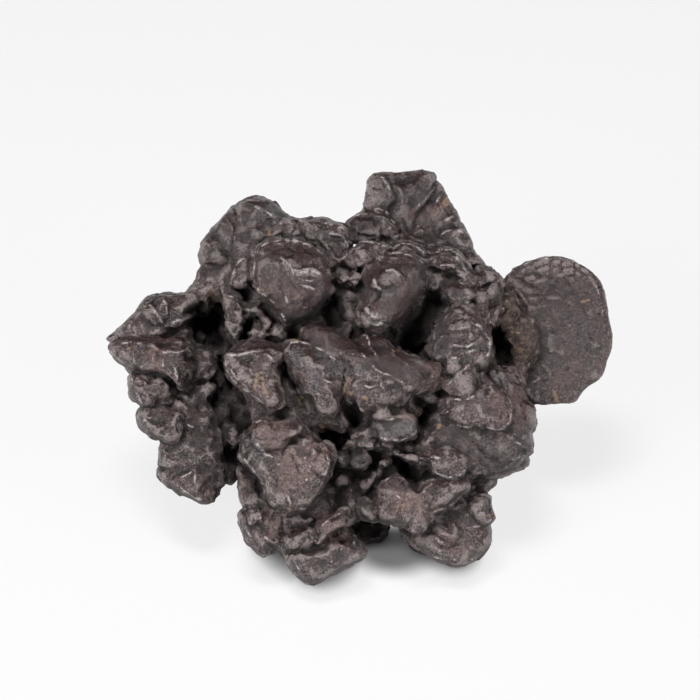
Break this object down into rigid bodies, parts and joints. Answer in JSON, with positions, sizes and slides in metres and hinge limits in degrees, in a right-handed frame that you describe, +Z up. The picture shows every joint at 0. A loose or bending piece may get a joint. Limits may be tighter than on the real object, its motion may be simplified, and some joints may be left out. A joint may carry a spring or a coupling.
{
  "type": "limonite concretion",
  "caption": "Dark brown knobbly stone of fused rounded lumps with deep gaps, a flat-topped peak at the back and a thin round disc at one side.",
  "frame": {"origin": "on the ground under the middle of the stone's box", "axes": "+X to the stone's right as it is seen from the front, +Y to its back, +Z up"},
  "size_m": [0.0813, 0.0638, 0.0479],
  "materials": {
    "limonite": "satin dark brown, almost black, smooth on the lumps and earthy in the gaps"
  },
  "bodies": {
    "root": {"concretion": "limonite"}
  },
  "joints": []
}
